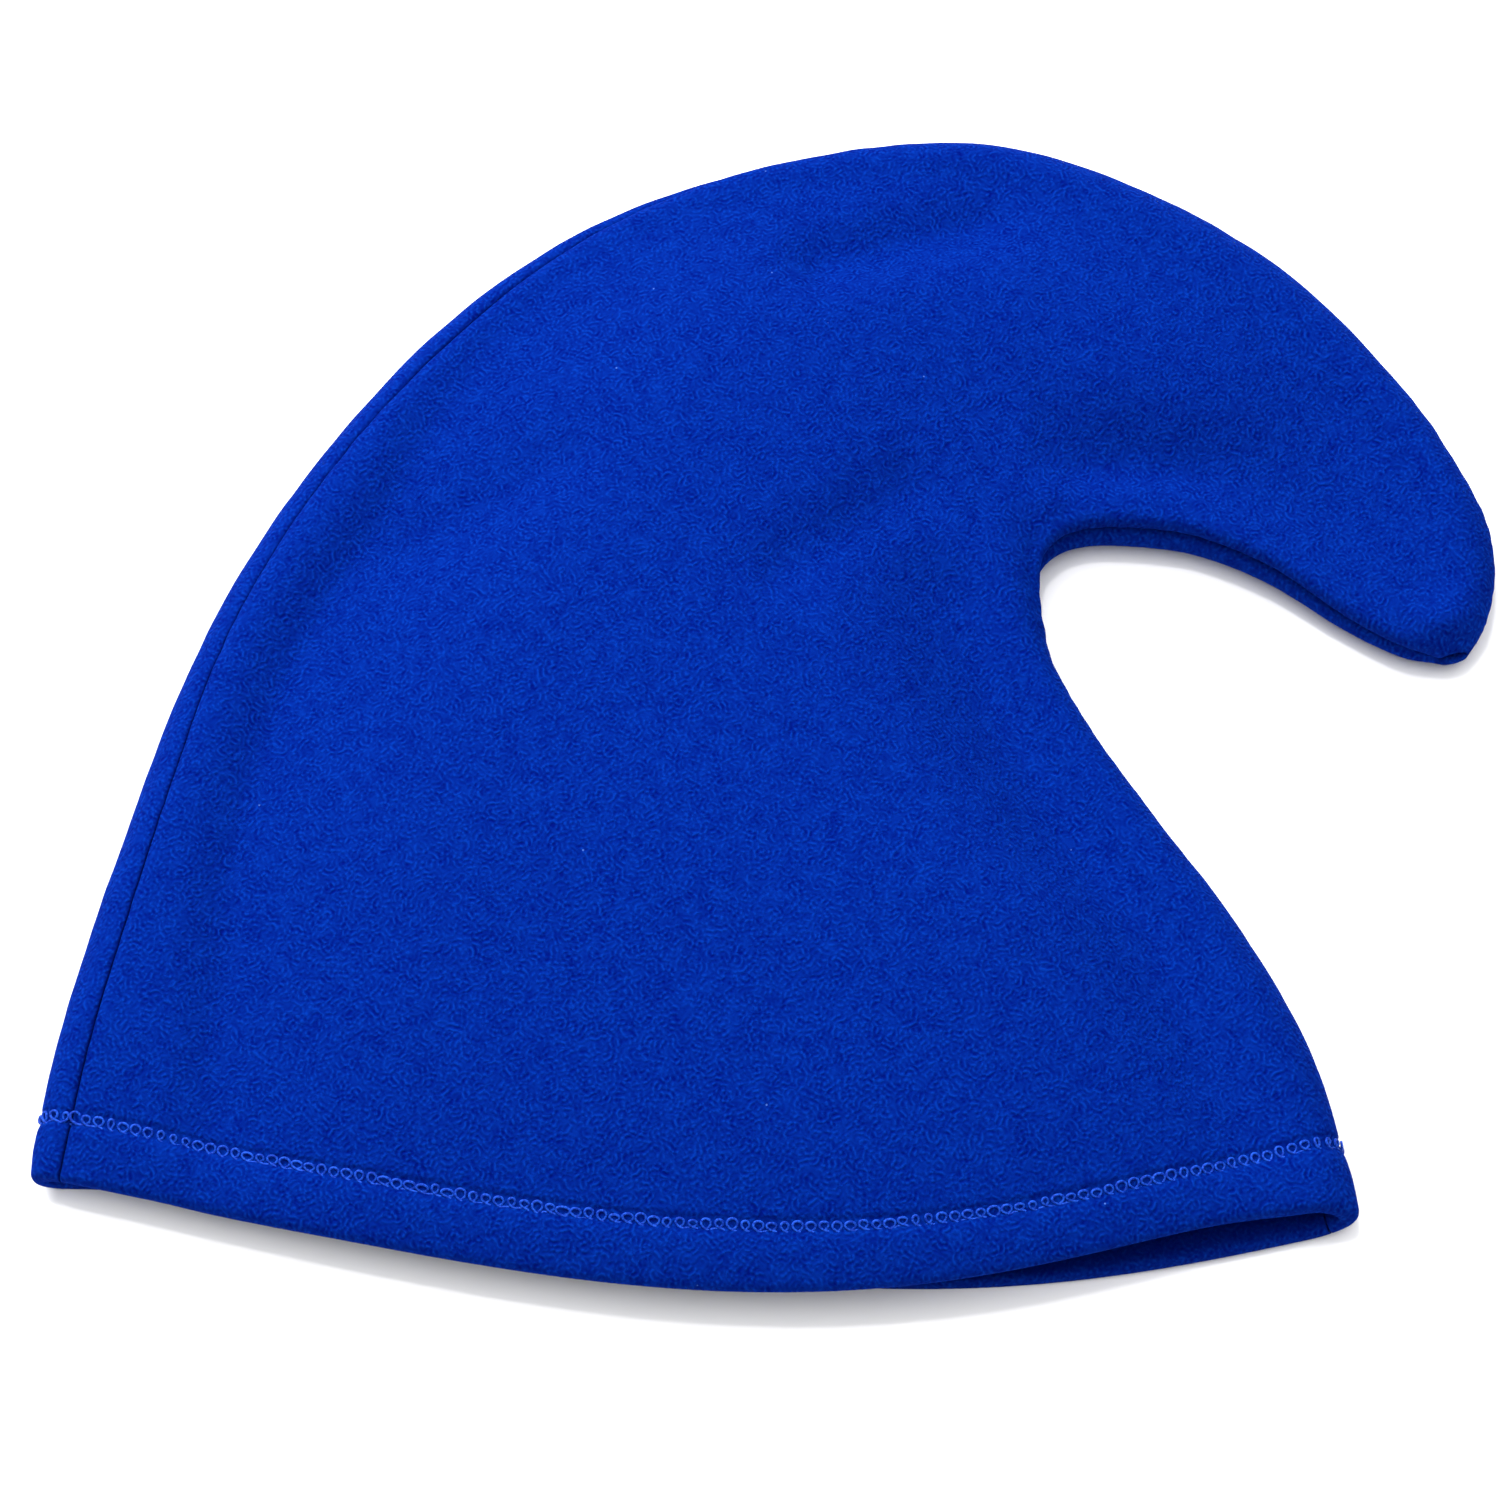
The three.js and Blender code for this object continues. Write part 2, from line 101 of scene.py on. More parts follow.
SECTIONS = (
    Section((-0.4985, -0.408), (0.376, -0.44), 0.083, (0.62, 0.8), 0.2, 0.6,
            (0, 0), (1.6, 0.6), (82, -60)),
    Section((-0.484, -0.292), (0.351, -0.316), 0.085, (0.88, 0.95), 0.58, 0.4,
            (0.8, 0.9), (1.4, 0.75), (73, -48)),
    Section((-0.4445, -0.113), (0.3065, -0.21), 0.043, (1, 1), 0.95, 0.2,
            (1.1, 1.3), (1.05, 0.7), (65, -38)),
    Section((-0.4015, 0.0425), (0.2585, -0.126), 0.03, (1, 1), 1, 0,
            (1.2, 1.5), (0.95, 0.65), (58, -30)),
    Section((-0.339, 0.182), (0.2165, -0.051), 0.015, (1, 1), 1, 0,
            (1.1, 1.5), (0.95, 0.6), (58, -22)),
    Section((-0.2505, 0.316), (0.1885, 0.011), 0.005, (1, 1), 0.95, 0,
            (0.7, 1.1), (0.65, 0.6), (60, -14)),
    Section((-0.144, 0.4155), (0.18, 0.05), 0, (1, 1), 0.9, 0,
            (0.6, 0.5), (0.5, 0.6), (45, -4), 0.3),
    Section((-0.013, 0.478), (0.178, 0.083), 0, (1, 1), 0.85, 0,
            (0.7, 0.3), (0.5, 0.6), (20, 9), 0.8),
    Section((0.132, 0.5), (0.184, 0.108), 0, (1, 1), 0.8, 0,
            (0.7, 0.5), (0.6, 0.7), (0, 18), 1),
    Section((0.245, 0.463), (0.204, 0.1245), 0, (1, 1), 0.75, 0,
            (0.4, 0.9), (0.8, 0.65), (-8, 23), 1),
    Section((0.358, 0.38), (0.24, 0.1275), 0, (1, 1), 0.7, 0,
            (0.5, 1), (0.8, 0.65), (-10, 25), 1),
    Section((0.439, 0.27), (0.288, 0.1195), 0, (1, 1), 0.6, 0,
            (1, 0.9), (0.75, 0.6), (-10, 25), 1),
    Section((0.487, 0.168), (0.338, 0.094), 0, (0.98, 1), 0.5, 0,
            (0.8, 0.6), (0.7, 0.55), (-8, 23), 1),
    Section((0.498, 0.105), (0.385, 0.056), 0, (0.92, 0.95), 0.4, 0,
            (0.4, 0.3), (0.6, 0.5), (-6, 19), 0.9),
    Section((0.491, 0.059), (0.425, 0.031), 0, (0.85, 0.88), 0.2, 0,
            (0, 0), (0.7, 0.5), (-3, 14), 0.7),
    Section((0.476, 0.031), (0.453, 0.025), 0, (0.75, 0.75), 0, 0,
            (0, 0), (0.7, 0.5), (0, 9), 0.4),
)


@dataclass(frozen=True)
class Dent:
    """A soft dent in the upper panel, along a line between two places.

    The places are shares of the hat's length and depth, from the middle of the hat.
    """

    start: tuple[float, float]
    end: tuple[float, float]
    width: float
    depth: float


DENTS = (
    Dent((0.03, 0.365), (0.14, 0.405), 8.5 * MM, 4.6 * MM),
    Dent((-0.258, 0.1), (-0.162, 0.168), 9 * MM, 2.4 * MM),
    Dent((0.0, 0.075), (0.08, 0.15), 8.5 * MM, 2.6 * MM),
    Dent((0.19, 0.18), (0.285, 0.18), 8 * MM, 1 * MM),
)


def bell(distance: np.ndarray, width: float) -> np.ndarray:
    """Return 1 at no distance, falling smoothly away over the width."""
    return np.exp(-((distance / width) ** 2))


def hump(share: np.ndarray, rising: float, falling: float) -> np.ndarray:
    """Return a hump over the share of the way across, 0 at both ends and 1 at its top."""
    top = rising / (rising + falling)
    return (share / top) ** rising * ((1 - share) / (1 - top)) ** falling


def unit(vectors: np.ndarray) -> np.ndarray:
    """Return the vectors' directions, each with a length of 1."""
    return vectors / np.linalg.norm(vectors, axis=-1, keepdims=True)


def run_of(points: np.ndarray) -> np.ndarray:
    """Return the length along a row of points, up to each of them."""
    steps = np.linalg.norm(np.diff(points, axis=0), axis=-1)
    return np.concatenate([[0.0], np.cumsum(steps)])


@dataclass(frozen=True)
class Ripple:
    """Smooth uneven waves through space: their strength, their usual pitch and their seed."""

    strength: float
    pitch: float
    seed: int
    layers: int = 5  # waves in different directions that are added up
    pitch_spread: tuple[float, float] = (0.7, 1.4)

    def over(self, places: np.ndarray) -> np.ndarray:
        """Return the waves at places in space.

        Args:
            places: The places, with three coordinates last.

        Returns:
            One value for each place, from about minus the strength to the strength.
        """
        draw = np.random.default_rng(self.seed)
        total = np.zeros(places.shape[:-1])
        for _ in range(self.layers):
            direction = draw.normal(size=3)
            pitch = self.pitch * draw.uniform(*self.pitch_spread)
            direction *= 2 * math.pi / pitch / np.linalg.norm(direction)
            total += np.sin(places @ direction + draw.uniform(0, 2 * math.pi))
        return self.strength * (total / math.sqrt(self.layers))


def new_piece(name: str, points: np.ndarray, faces: list, smooth: bool = True) -> bpy.types.Object:
    """Make a mesh object and put it in the scene.

    Args:
        name: The name of the object and of its mesh.
        points: The places, with three coordinates last.
        faces: The places of each face, counted from 0.
        smooth: Whether the faces are shaded as one smooth surface.

    Returns:
        The object.
    """
    mesh = bpy.data.meshes.new(name)
    mesh.from_pydata(points.reshape(-1, 3).tolist(), [], faces)
    mesh.polygons.foreach_set("use_smooth", np.full(len(mesh.polygons), smooth))
    piece = bpy.data.objects.new(name, mesh)
    bpy.context.scene.collection.objects.link(piece)
    return piece


def tube_faces(rings: int, count: int, closed: bool = False) -> list[list[int]]:
    """Return the faces between rings of places, each of which closes on itself.

    Args:
        rings: How many rings there are.
        count: How many places each ring has.
        closed: Whether the last ring is joined to the first one.

    Returns:
        The places of each face, counted ring after ring.
    """
    joined = np.arange(rings if closed else rings - 1)
    ring, place = np.meshgrid(joined, np.arange(count), indexing="ij")
    here, ahead = ring * count, (ring + 1) % rings * count
    beside = (place + 1) % count
    faces = np.stack([here + place, here + beside, ahead + beside, ahead + place], -1)
    return faces.reshape(-1, 4).tolist()


@dataclass(frozen=True)
class HatForm:
    """The outer form of the lying hat, as sections with a turn round each.

    A hump is given by how fast it rises from the back and falls to the front.
    """

    length: float = 318 * MM
    depth: float = 281 * MM
    cloth: float = 2.2 * MM
    layer_gap: float = 0.3 * MM
    seam_allowance: float = 7 * MM
    hem_depth: float = 13.2 * MM
    hem_turned_in: float = 15.2 * MM
    edge_half: float = 9 * MM  # height of the outermost line over the table
    edge_roll: float = 12 * MM
    crown_rise: float = 10 * MM
    crown_slope: float = 75 * MM
    valley_inset: float = 25 * MM
    valley_outside: float = 8.5 * MM
    back_valley_inside: float = 24 * MM
    front_valley_inside: float = 13 * MM
    valley_depth: float = 5.4 * MM
    bow_skew: float = 0.44
    front_draw: float = 4.2 * MM
    front_draw_hump: tuple[int, int] = (5, 1)
    lower_tuck: float = 9.7 * MM
    lower_tuck_hump: tuple[int, int] = (1, 2)
    mouth_fade: float = 45 * MM
    open_setback: float = 3.4 * MM
    open_setback_hump: tuple[int, int] = (8, 1)
    open_setback_fade: float = 12 * MM
    least_squareness: float = 0.25
    seam_limit: float = 0.45  # most that a seam lies inwards, as a share of the way across
    fine_rows: int = 601
    line_step: float = 0.02  # in t, to take a line's direction over
    form_step: float = 0.01  # in t and in turns, to take the form's directions over

    @property
    def last(self) -> float:
        """Return the t of the tip's section."""
        return float(len(SECTIONS) - 1)

    def column(self, name: str, t: np.ndarray) -> np.ndarray:
        """Return a column of the sections as a smooth function of t, which counts the rows.

        Args:
            name: One of COLUMNS.
            t: Where the value is wanted.

        Returns:
            The spline through the rows' values, at each t.
        """
        values = np.array([section.row()[COLUMNS.index(name)] for section in SECTIONS], float)
        t = np.clip(t, 0, self.last)
        low = np.minimum(t.astype(int), len(values) - 2)
        share = t - low
        before, after = np.maximum(low - 1, 0), np.minimum(low + 2, len(values) - 1)
        start, end = values[low], values[low + 1]
        leave, arrive = (end - values[before]) / 2, (values[after] - start) / 2
        cubic = (2 * start - 2 * end + leave + arrive) * share**3
        square = (-3 * start + 3 * end - 2 * leave - arrive) * share**2
        return cubic + square + leave * share + start

    def line(self, edge: Edge, t: np.ndarray) -> np.ndarray:
        """Return the places of an outermost line in plan."""
        shares = [self.column(f"{edge.value}_{axis}", t) for axis in "xy"]
        return np.stack([shares[0] * self.length, shares[1] * self.depth], -1)

    def squareness(self, edge: Edge, t: np.ndarray, across: np.ndarray) -> np.ndarray:
        """Return how squarely a section meets an outermost line.

        Args:
            edge: The outermost line.
            t: The sections.
            across: The sections' directions in plan.

        Returns:
            1 at a right angle, and less where the line turns along the section.
        """
        ahead = self.line(edge, np.minimum(t + self.line_step, self.last))
        along = unit(ahead - self.line(edge, np.maximum(t - self.line_step, 0)))
        crossing = along[..., 0] * across[..., 1] - along[..., 1] * across[..., 0]
        return np.maximum(self.least_squareness, np.abs(crossing))

    def steps(self) -> np.ndarray:
        """Return the fine row of t over which lengths along the hat are measured."""
        return np.linspace(0, self.last, self.fine_rows)

    def middle_run(self) -> np.ndarray:
        """Measure the hat down its middle.

        Returns:
            The length from the mouth's edge, at each of the steps.
        """
        t = self.steps()
        middle = (self.line(Edge.BACK, t) + self.line(Edge.FRONT, t)) / 2
        middle[:, 1] -= self.column("bow", t) * self.depth
        return run_of(middle)

    def t_at(self, from_mouth: np.ndarray) -> np.ndarray:
        """Return the t at distances from the mouth's edge."""
        return np.interp(from_mouth, self.middle_run(), self.steps())

    def reaches(self, t: np.ndarray) -> tuple[np.ndarray, np.ndarray, np.ndarray, np.ndarray]:
        """Return where sections lie and how wide they are.

        Args:
            t: The sections.

        Returns:
            Each section's back place, its chord to the front place, and its width as it counts
            for insets from the back line and from the front line.
        """
        back, front = self.line(Edge.BACK, t), self.line(Edge.FRONT, t)
        chord = front - back
        span = np.linalg.norm(chord, axis=-1)
        across = chord / span[..., None]
        back_reach = span * self.squareness(Edge.BACK, t, across)
        return back, chord, back_reach, span * self.squareness(Edge.FRONT, t, across)

    def roll(self, inset: np.ndarray, reach: np.ndarray) -> np.ndarray:
        """Return the rolled edge's rise, 0 on the outermost line and 1 where it has its height."""
        left = 1 - np.minimum(inset, reach) / reach
        return np.sqrt(np.maximum(0, 1 - left * left))

    def swell(self, inset: np.ndarray) -> np.ndarray:
        """Return how far the crown has swelled at an inset from the outermost line."""
        left = 1 - np.minimum(inset, self.crown_slope) / self.crown_slope
        return 1 - left * left

    def valley(self, edge: Edge, t: np.ndarray, inset: np.ndarray) -> np.ndarray:
        """Return how deep the valley along an edge is.

        Args:
            edge: The outermost line that it follows.
            t: The sections.
            inset: How far in from that line each place lies.

        Returns:
            The depth at each place.
        """
        away = inset - self.valley_inset * self.column(f"{edge.value}_inset", t)
        inside = self.back_valley_inside if edge is Edge.BACK else self.front_valley_inside
        width = np.where(away < 0, self.valley_outside, inside)
        return self.valley_depth * self.column(f"{edge.value}_valley", t) * bell(away, width)

    def dents(self, place: np.ndarray) -> np.ndarray:
        """Return how deep the soft dents are.

        Args:
            place: The places in plan.

        Returns:
            The depth at each place.
        """
        total = np.zeros(place.shape[:-1])
        scale = np.array([self.length, self.depth])
        for dent in DENTS:
            start, end = np.array(dent.start) * scale, np.array(dent.end) * scale
            way = end - start
            share = np.clip(((place - start) @ way) / (way @ way), 0, 1)
            away = np.linalg.norm(place - start - share[..., None] * way, axis=-1)
            total += dent.depth * bell(away, dent.width)
        return total

    def drawn_back(self, t: np.ndarray, w: np.ndarray, above: np.ndarray) -> np.ndarray:
        """Return how far the cloth near the mouth lies back from its plain bow.

        Args:
            t: The sections.
            w: The shares of the way across from the back line.
            above: Whether each place is on the upper side.

        Returns:
            Lengths towards the crown, which fade away from the mouth.
        """
        from_mouth = np.interp(t, self.steps(), self.middle_run())
        opening = self.open_setback * np.exp(-from_mouth / self.open_setback_fade)
        setback = np.where(above, opening * hump(w, *self.open_setback_hump), 0)
        fading = np.exp(-from_mouth / self.mouth_fade)
        tuck = np.where(above, 0, self.lower_tuck * hump(w, *self.lower_tuck_hump))
        return setback + fading * (self.front_draw * hump(w, *self.front_draw_hump) + tuck)

    def place(self, t: np.ndarray, turn: np.ndarray) -> np.ndarray:
        """Return places on the outer form.

        Args:
            t: The section, counted in rows of SECTIONS.
            turn: 0 on the back line, over the top to pi on the front line, and back underneath.

        Returns:
            The places, with three coordinates last.
        """
        t, turn = np.broadcast_arrays(np.asarray(t, float), np.asarray(turn, float))
        back, chord, back_reach, front_reach = self.reaches(t)
        w = (1 - np.cos(turn)) / 2
        above = np.sin(turn) >= 0
        plan = back + chord * w[..., None]
        skewed = 4 * w * (1 - w) * (1 + self.bow_skew * (2 * w - 1))
        plan[..., 1] -= self.column("bow", t) * self.depth * skewed
        plan[..., 1] += self.drawn_back(t, w, above)
        from_back, from_front = w * back_reach, (1 - w) * front_reach
        halves = self.column("back_half", t), self.column("front_half", t)
        half = self.edge_half * (halves[0] + (halves[1] - halves[0]) * w)
        rolled = self.roll(from_back, self.edge_roll * halves[0])
        rolled = rolled * self.roll(from_front, self.edge_roll * halves[1])
        leaning = self.column("rise", t) * (1 + self.column("lean", t) * (2 * w - 1))
        rise = self.crown_rise * leaning * self.swell(from_back) * self.swell(from_front)
        sunk = self.valley(Edge.BACK, t, from_back) + self.valley(Edge.FRONT, t, from_front)
        top = half * (1 + rolled) + rise - (sunk + self.dents(plan)) * rolled
        return np.concatenate([plan, np.where(above, top, half * (1 - rolled))[..., None]], -1)

    def frames(self, t: np.ndarray, turn: np.ndarray) -> tuple[np.ndarray, np.ndarray, np.ndarray]:
        """Return places on the outer form with their directions.

        Args:
            t: The sections.
            turn: The turns round them, as for place.

        Returns:
            The places, the ways out of the hat there, and the ways on round the section.
        """
        step = self.form_step
        around = self.place(t, turn + step) - self.place(t, turn - step)
        along = self.place(np.minimum(t + step, self.last), turn)
        along -= self.place(np.maximum(t - step, 0), turn)
        return self.place(t, turn), unit(np.cross(around, along)), unit(around)

    def seam_turn(self, edge: Edge, t: np.ndarray) -> np.ndarray:
        """Return where a seam lies round the sections.

        Args:
            edge: The edge along which it runs.
            t: The sections.

        Returns:
            The turns at which the upper panel ends there.
        """
        degrees = self.column(f"{edge.value}_seam", t)
        _, _, back_reach, front_reach = self.reaches(t)
        reach = back_reach if edge is Edge.BACK else front_reach
        roll = self.edge_roll * self.column(f"{edge.value}_half", t)
        inset = roll * (1 - np.cos(np.radians(degrees)))
        turn = np.sign(degrees) * np.arccos(1 - 2 * np.minimum(inset / reach, self.seam_limit))
        return turn if edge is Edge.BACK else math.pi - turn

    def span(self, side: Side, t: np.ndarray) -> tuple[np.ndarray, np.ndarray]:
        """Return the turns between which a panel lies."""
        back, front = self.seam_turn(Edge.BACK, t), self.seam_turn(Edge.FRONT, t)
        return (back, front) if side is Side.RIGHT else (front, back + 2 * math.pi)


@dataclass
class Row:
    """One row of a panel's cloth: where its right side and its wrong side lie.

    Each is a distance from the mouth's edge and a depth under the hat's outer form. allowance is
    how far the seam allowance stands beyond the cloth there.
    """

    face_at: float
    face_deep: float
    back_at: float
    back_deep: float
    allowance: float


@dataclass
class Grid:
    """One side of a panel's cloth, or its plain form, as a grid with a row for each section.

    distance is measured from the first seam, and length is the whole section's, seam to seam.
    """

    place: np.ndarray
    out: np.ndarray
    around: np.ndarray
    distance: np.ndarray
    length: np.ndarray


@dataclass
class PanelCloth:
    """One side panel with its thickness, its turned-up hem and its seam allowances."""

    form: HatForm
    side: Side
    row_step: float = 2.1 * MM
    row_step_swing: float = 0.25  # how much wider the steps are at both ends than halfway
    hem_step: float = 0.8 * MM
    stitch_step: float = 0.38 * MM
    close_before: float = 1.5  # close rows beside the stitching, in widths of its pull
    close_after: float = 3
    turned_in_rows: int = 10
    fold_rows: int = 15
    across: int = 192  # places from seam to seam
    fine_turns: int = 520
    closest: float = 0.22 * MM
    widening: float = 0.12
    widest: float = 2.1 * MM
    hidden_allowance: float = 0.1  # these are shares of the cloth's thickness
    allowance_growth: float = 3
    behind_allowance: float = 1.25
    full_relief: float = 12
    tip_layer_share: float = 0.2  # and these of the section's length, at the narrow tip
    tip_allowance_share: float = 0.4
    groove: float = 0.75 * MM
    groove_width: float = 1.9 * MM
    slit: float = 0.7 * MM
    slit_width: float = 0.5 * MM
    fold_squareness: float = 0.72
    rim: float = 1.1 * MM
    rim_inset: float = 3 * MM
    rim_width: float = 2.8 * MM
    recess: float = 1.7 * MM
    recess_width: float = 5 * MM
    pucker: float = 0.08 * MM
    pucker_pitch: float = 5 * MM
    pucker_inset: float = 1.5 * MM
    pucker_reach: float = 5 * MM
    pucker_change: Ripple = Ripple(0.5, 19 * MM, 3)
    pucker_drift: Ripple = Ripple(1.5, 30 * MM, 4)
    hem_puff: float = 0.65 * MM
    hem_flat_end: float = 9 * MM
    stitch_pull: float = 0.55 * MM
    stitch_pull_width: float = 1.6 * MM
    stitch_ledge: float = 0.3 * MM
    stitch_ledge_width: float = 0.55 * MM
    stitch_ledge_at: float = 1.45 * MM
    unevenness: float = 0.1 * MM
    broad_ripple: Ripple = Ripple(0.7, 17 * MM, 1)
    small_ripple: Ripple = Ripple(0.45, 8 * MM, 2)
    name: str = field(init=False)

    def __post_init__(self) -> None:
        """Name the piece after its side."""
        self.name = f"{self.side.value}_panel_cloth"

    def fold_radius(self) -> float:
        """Return the radius of the fold's right side: half of two layers and their gap."""
        return self.form.cloth + self.form.layer_gap / 2

    def rows(self) -> list[Row]:
        """List the cloth's rows.

        Returns:
            The rows, from the turned-up layer's raw edge to the tip.
        """
        form, radius, inner = self.form, self.fold_radius(), self.form.layer_gap / 2
        hidden = self.hidden_allowance * form.cloth
        rows = [
            Row(at, 2 * radius, at, form.cloth + form.layer_gap, hidden)
            for at in np.linspace(form.hem_turned_in, radius, self.turned_in_rows)
        ]
        for angle in np.linspace(math.pi, 0, self.fold_rows)[1:-1]:
            lean = math.sin(angle) ** self.fold_squareness
            drop = math.copysign(abs(math.cos(angle)) ** self.fold_squareness, math.cos(angle))
            rows.append(Row(radius - radius * lean, radius - radius * drop,
                            radius - inner * lean, radius - inner * drop, hidden))
        for at in self.panel_distances(radius):
            clear = at - form.hem_turned_in - form.cloth
            growth = np.clip(clear / (self.allowance_growth * form.cloth), 0, 1)
            allowance = hidden + form.seam_allowance * float(growth)
            rows.append(Row(at, 0.0, at, form.cloth, allowance))
        return rows

    def panel_distances(self, start: float) -> np.ndarray:
        """Return how far the panel's rows lie from the mouth.

        Args:
            start: The first row's distance, where the fold ends.

        Returns:
            The distances, close ones in the hem and closer ones at its stitching first.
        """
        form = self.form
        close_end = form.hem_depth + self.close_after * self.stitch_pull_width
        stitching = form.hem_depth - self.close_before * self.stitch_pull_width
        hem = np.arange(start, stitching, self.hem_step)
        close = np.arange(stitching, close_end, self.stitch_step)
        middle = form.middle_run()
        pace = (run_of(form.line(Edge.BACK, form.steps())) + middle) / 2
        first, last = np.interp(close_end, middle, pace), pace[-1]
        count = math.ceil((last - first) / self.row_step)
        share = np.linspace(0, 1, count + 1)
        share = share + self.row_step_swing * np.sin(math.pi * share) / math.pi
        return np.concatenate([hem, close, np.interp(first + (last - first) * share, pace, middle)])

    def turns(self, t: np.ndarray) -> tuple[np.ndarray, np.ndarray, np.ndarray]:
        """Return a panel's turns in each section, their distances, and the sections' lengths.

        Args:
            t: The sections.

        Returns:
            Turns and distances from the first seam, one row for each section, and the lengths.
        """
        start, end = self.form.span(self.side, t)
        fine = start[:, None] + (end - start)[:, None] * np.linspace(0, 1, self.fine_turns)
        points = self.form.place(t[:, None], fine)
        turns, distances, lengths = [], [], []
        for row_turns, row_points in zip(fine, points):
            run = run_of(row_points)
            middle = (run[1:] + run[:-1]) / 2
            from_end = np.minimum(middle, run[-1] - middle)
            spacing = np.minimum(self.widest, self.closest + self.widening * from_end)
            measure = np.concatenate([[0.0], np.cumsum(np.diff(run) / spacing)])
            distance = np.interp(np.linspace(0, measure[-1], self.across), measure, run)
            turns.append(np.interp(distance, run, row_turns))
            distances.append(distance)
            lengths.append(run[-1])
        return np.array(turns), np.array(distances), np.array(lengths)

    def relief(self, at: np.ndarray, near: np.ndarray) -> np.ndarray:
        """Return how far the hem swells out of the plain form, or its stitching draws it in.

        Args:
            at: Distances of the rows from the mouth's edge.
            near: Distances from the nearest seam, where the hem lies flatter.

        Returns:
            The lift of each place of the grid.
        """
        depth = self.form.hem_depth
        share = np.clip(at / depth, 0, 1)
        puff = (self.hem_puff * np.sin(math.pi * share))[:, None] * (1 - bell(near, self.hem_flat_end))
        ledge = self.stitch_ledge * bell(at - depth - self.stitch_ledge_at, self.stitch_ledge_width)
        return puff - (self.stitch_pull * bell(at - depth, self.stitch_pull_width) + ledge)[:, None]

    def lifted(self, at: np.ndarray, t: np.ndarray, plain: Grid) -> np.ndarray:
        """Return how far the cloth stands off the plain form at each place of a grid.

        Args:
            at: Distances of the rows from the mouth's edge.
            t: The rows' sections.
            plain: The grid on the plain form.

        Returns:
            The lift of each place, less than 0 where the cloth lies deeper.
        """
        place, from_first = plain.place, plain.distance
        from_last = plain.length[:, None] - from_first
        near = np.minimum(from_first, from_last)
        crease = self.form.column("crease", t)[:, None]
        lift = -self.groove * bell(near, self.groove_width) - self.slit * bell(near, self.slit_width)
        if self.side is Side.RIGHT:
            lift += self.rim * crease * bell(from_last - self.rim_inset, self.rim_width)
        else:
            lift -= self.recess * crease * bell(from_first, self.recess_width)
        beat = 2 * math.pi * self.seam_run(t)[:, None] / self.pucker_pitch
        puckers = (1 + self.pucker_change.over(place)) * np.sin(beat + self.pucker_drift.over(place))
        lift += self.pucker * puckers * bell(near - self.pucker_inset, self.pucker_reach)
        lift += self.relief(at, near)
        lift += self.unevenness * (self.broad_ripple.over(place) + self.small_ripple.over(place))
        resting = np.clip(1 + plain.out[..., 2], 0, 1)
        full = self.full_relief * self.form.cloth
        return lift * resting * np.clip(plain.length / full, 0, 1)[:, None]

    def seam_run(self, t: np.ndarray) -> np.ndarray:
        """Return the length along the front line at each section, for what repeats by the seams."""
        steps = self.form.steps()
        return np.interp(t, steps, run_of(self.form.line(Edge.FRONT, steps)))

    def thinning(self, length: np.ndarray) -> np.ndarray:
        """Return the share of its thickness that the cloth keeps in sections of these lengths."""
        return np.minimum(1, self.tip_layer_share * length / self.form.cloth)[:, None]

    def layer(self, at: np.ndarray, deep: np.ndarray) -> Grid:
        """Return one side of the cloth.

        Args:
            at: Distances of the rows from the mouth's edge.
            deep: Depths of the rows under the outer form.

        Returns:
            The side's grid, with the plain form's directions.
        """
        t = self.form.t_at(at)
        turn, distance, length = self.turns(t)
        grid = Grid(*self.form.frames(t[:, None], turn), distance, length)
        lift = self.lifted(at, t, grid) - deep[:, None] * self.thinning(length)
        grid.place = grid.place + grid.out * lift[..., None]
        return grid

    def build(self) -> bpy.types.Object:
        """Build the panel's cloth as one closed mesh.

        Returns:
            The mesh object, with how far each place is from the seams and the mouth.
        """
        rows = [astuple(row) for row in self.rows()]
        face_at, face_deep, back_at, back_deep, allowance = (np.array(values) for values in zip(*rows))
        face, back = self.layer(face_at, face_deep), self.layer(back_at, back_deep)
        hidden = self.behind_allowance * self.form.cloth
        skip = int(np.searchsorted(face.distance[len(rows) // 2], hidden))
        rings, near = self.rings(allowance, face, back, skip)
        count = rings.shape[1]
        faces = tube_faces(len(rows), count) + self.end_faces(len(rows), count, skip)
        piece = new_piece(self.name, rings, faces)
        from_mouth = np.where(face_deep > self.fold_radius(), -face_at, face_at)
        for label, values in (("seam_near", near), ("from_mouth", np.repeat(from_mouth, count))):
            layer = piece.data.attributes.new(label, "FLOAT", "POINT")
            layer.data.foreach_set("value", values.astype(np.float32).ravel())
        piece.data.validate()
        return piece

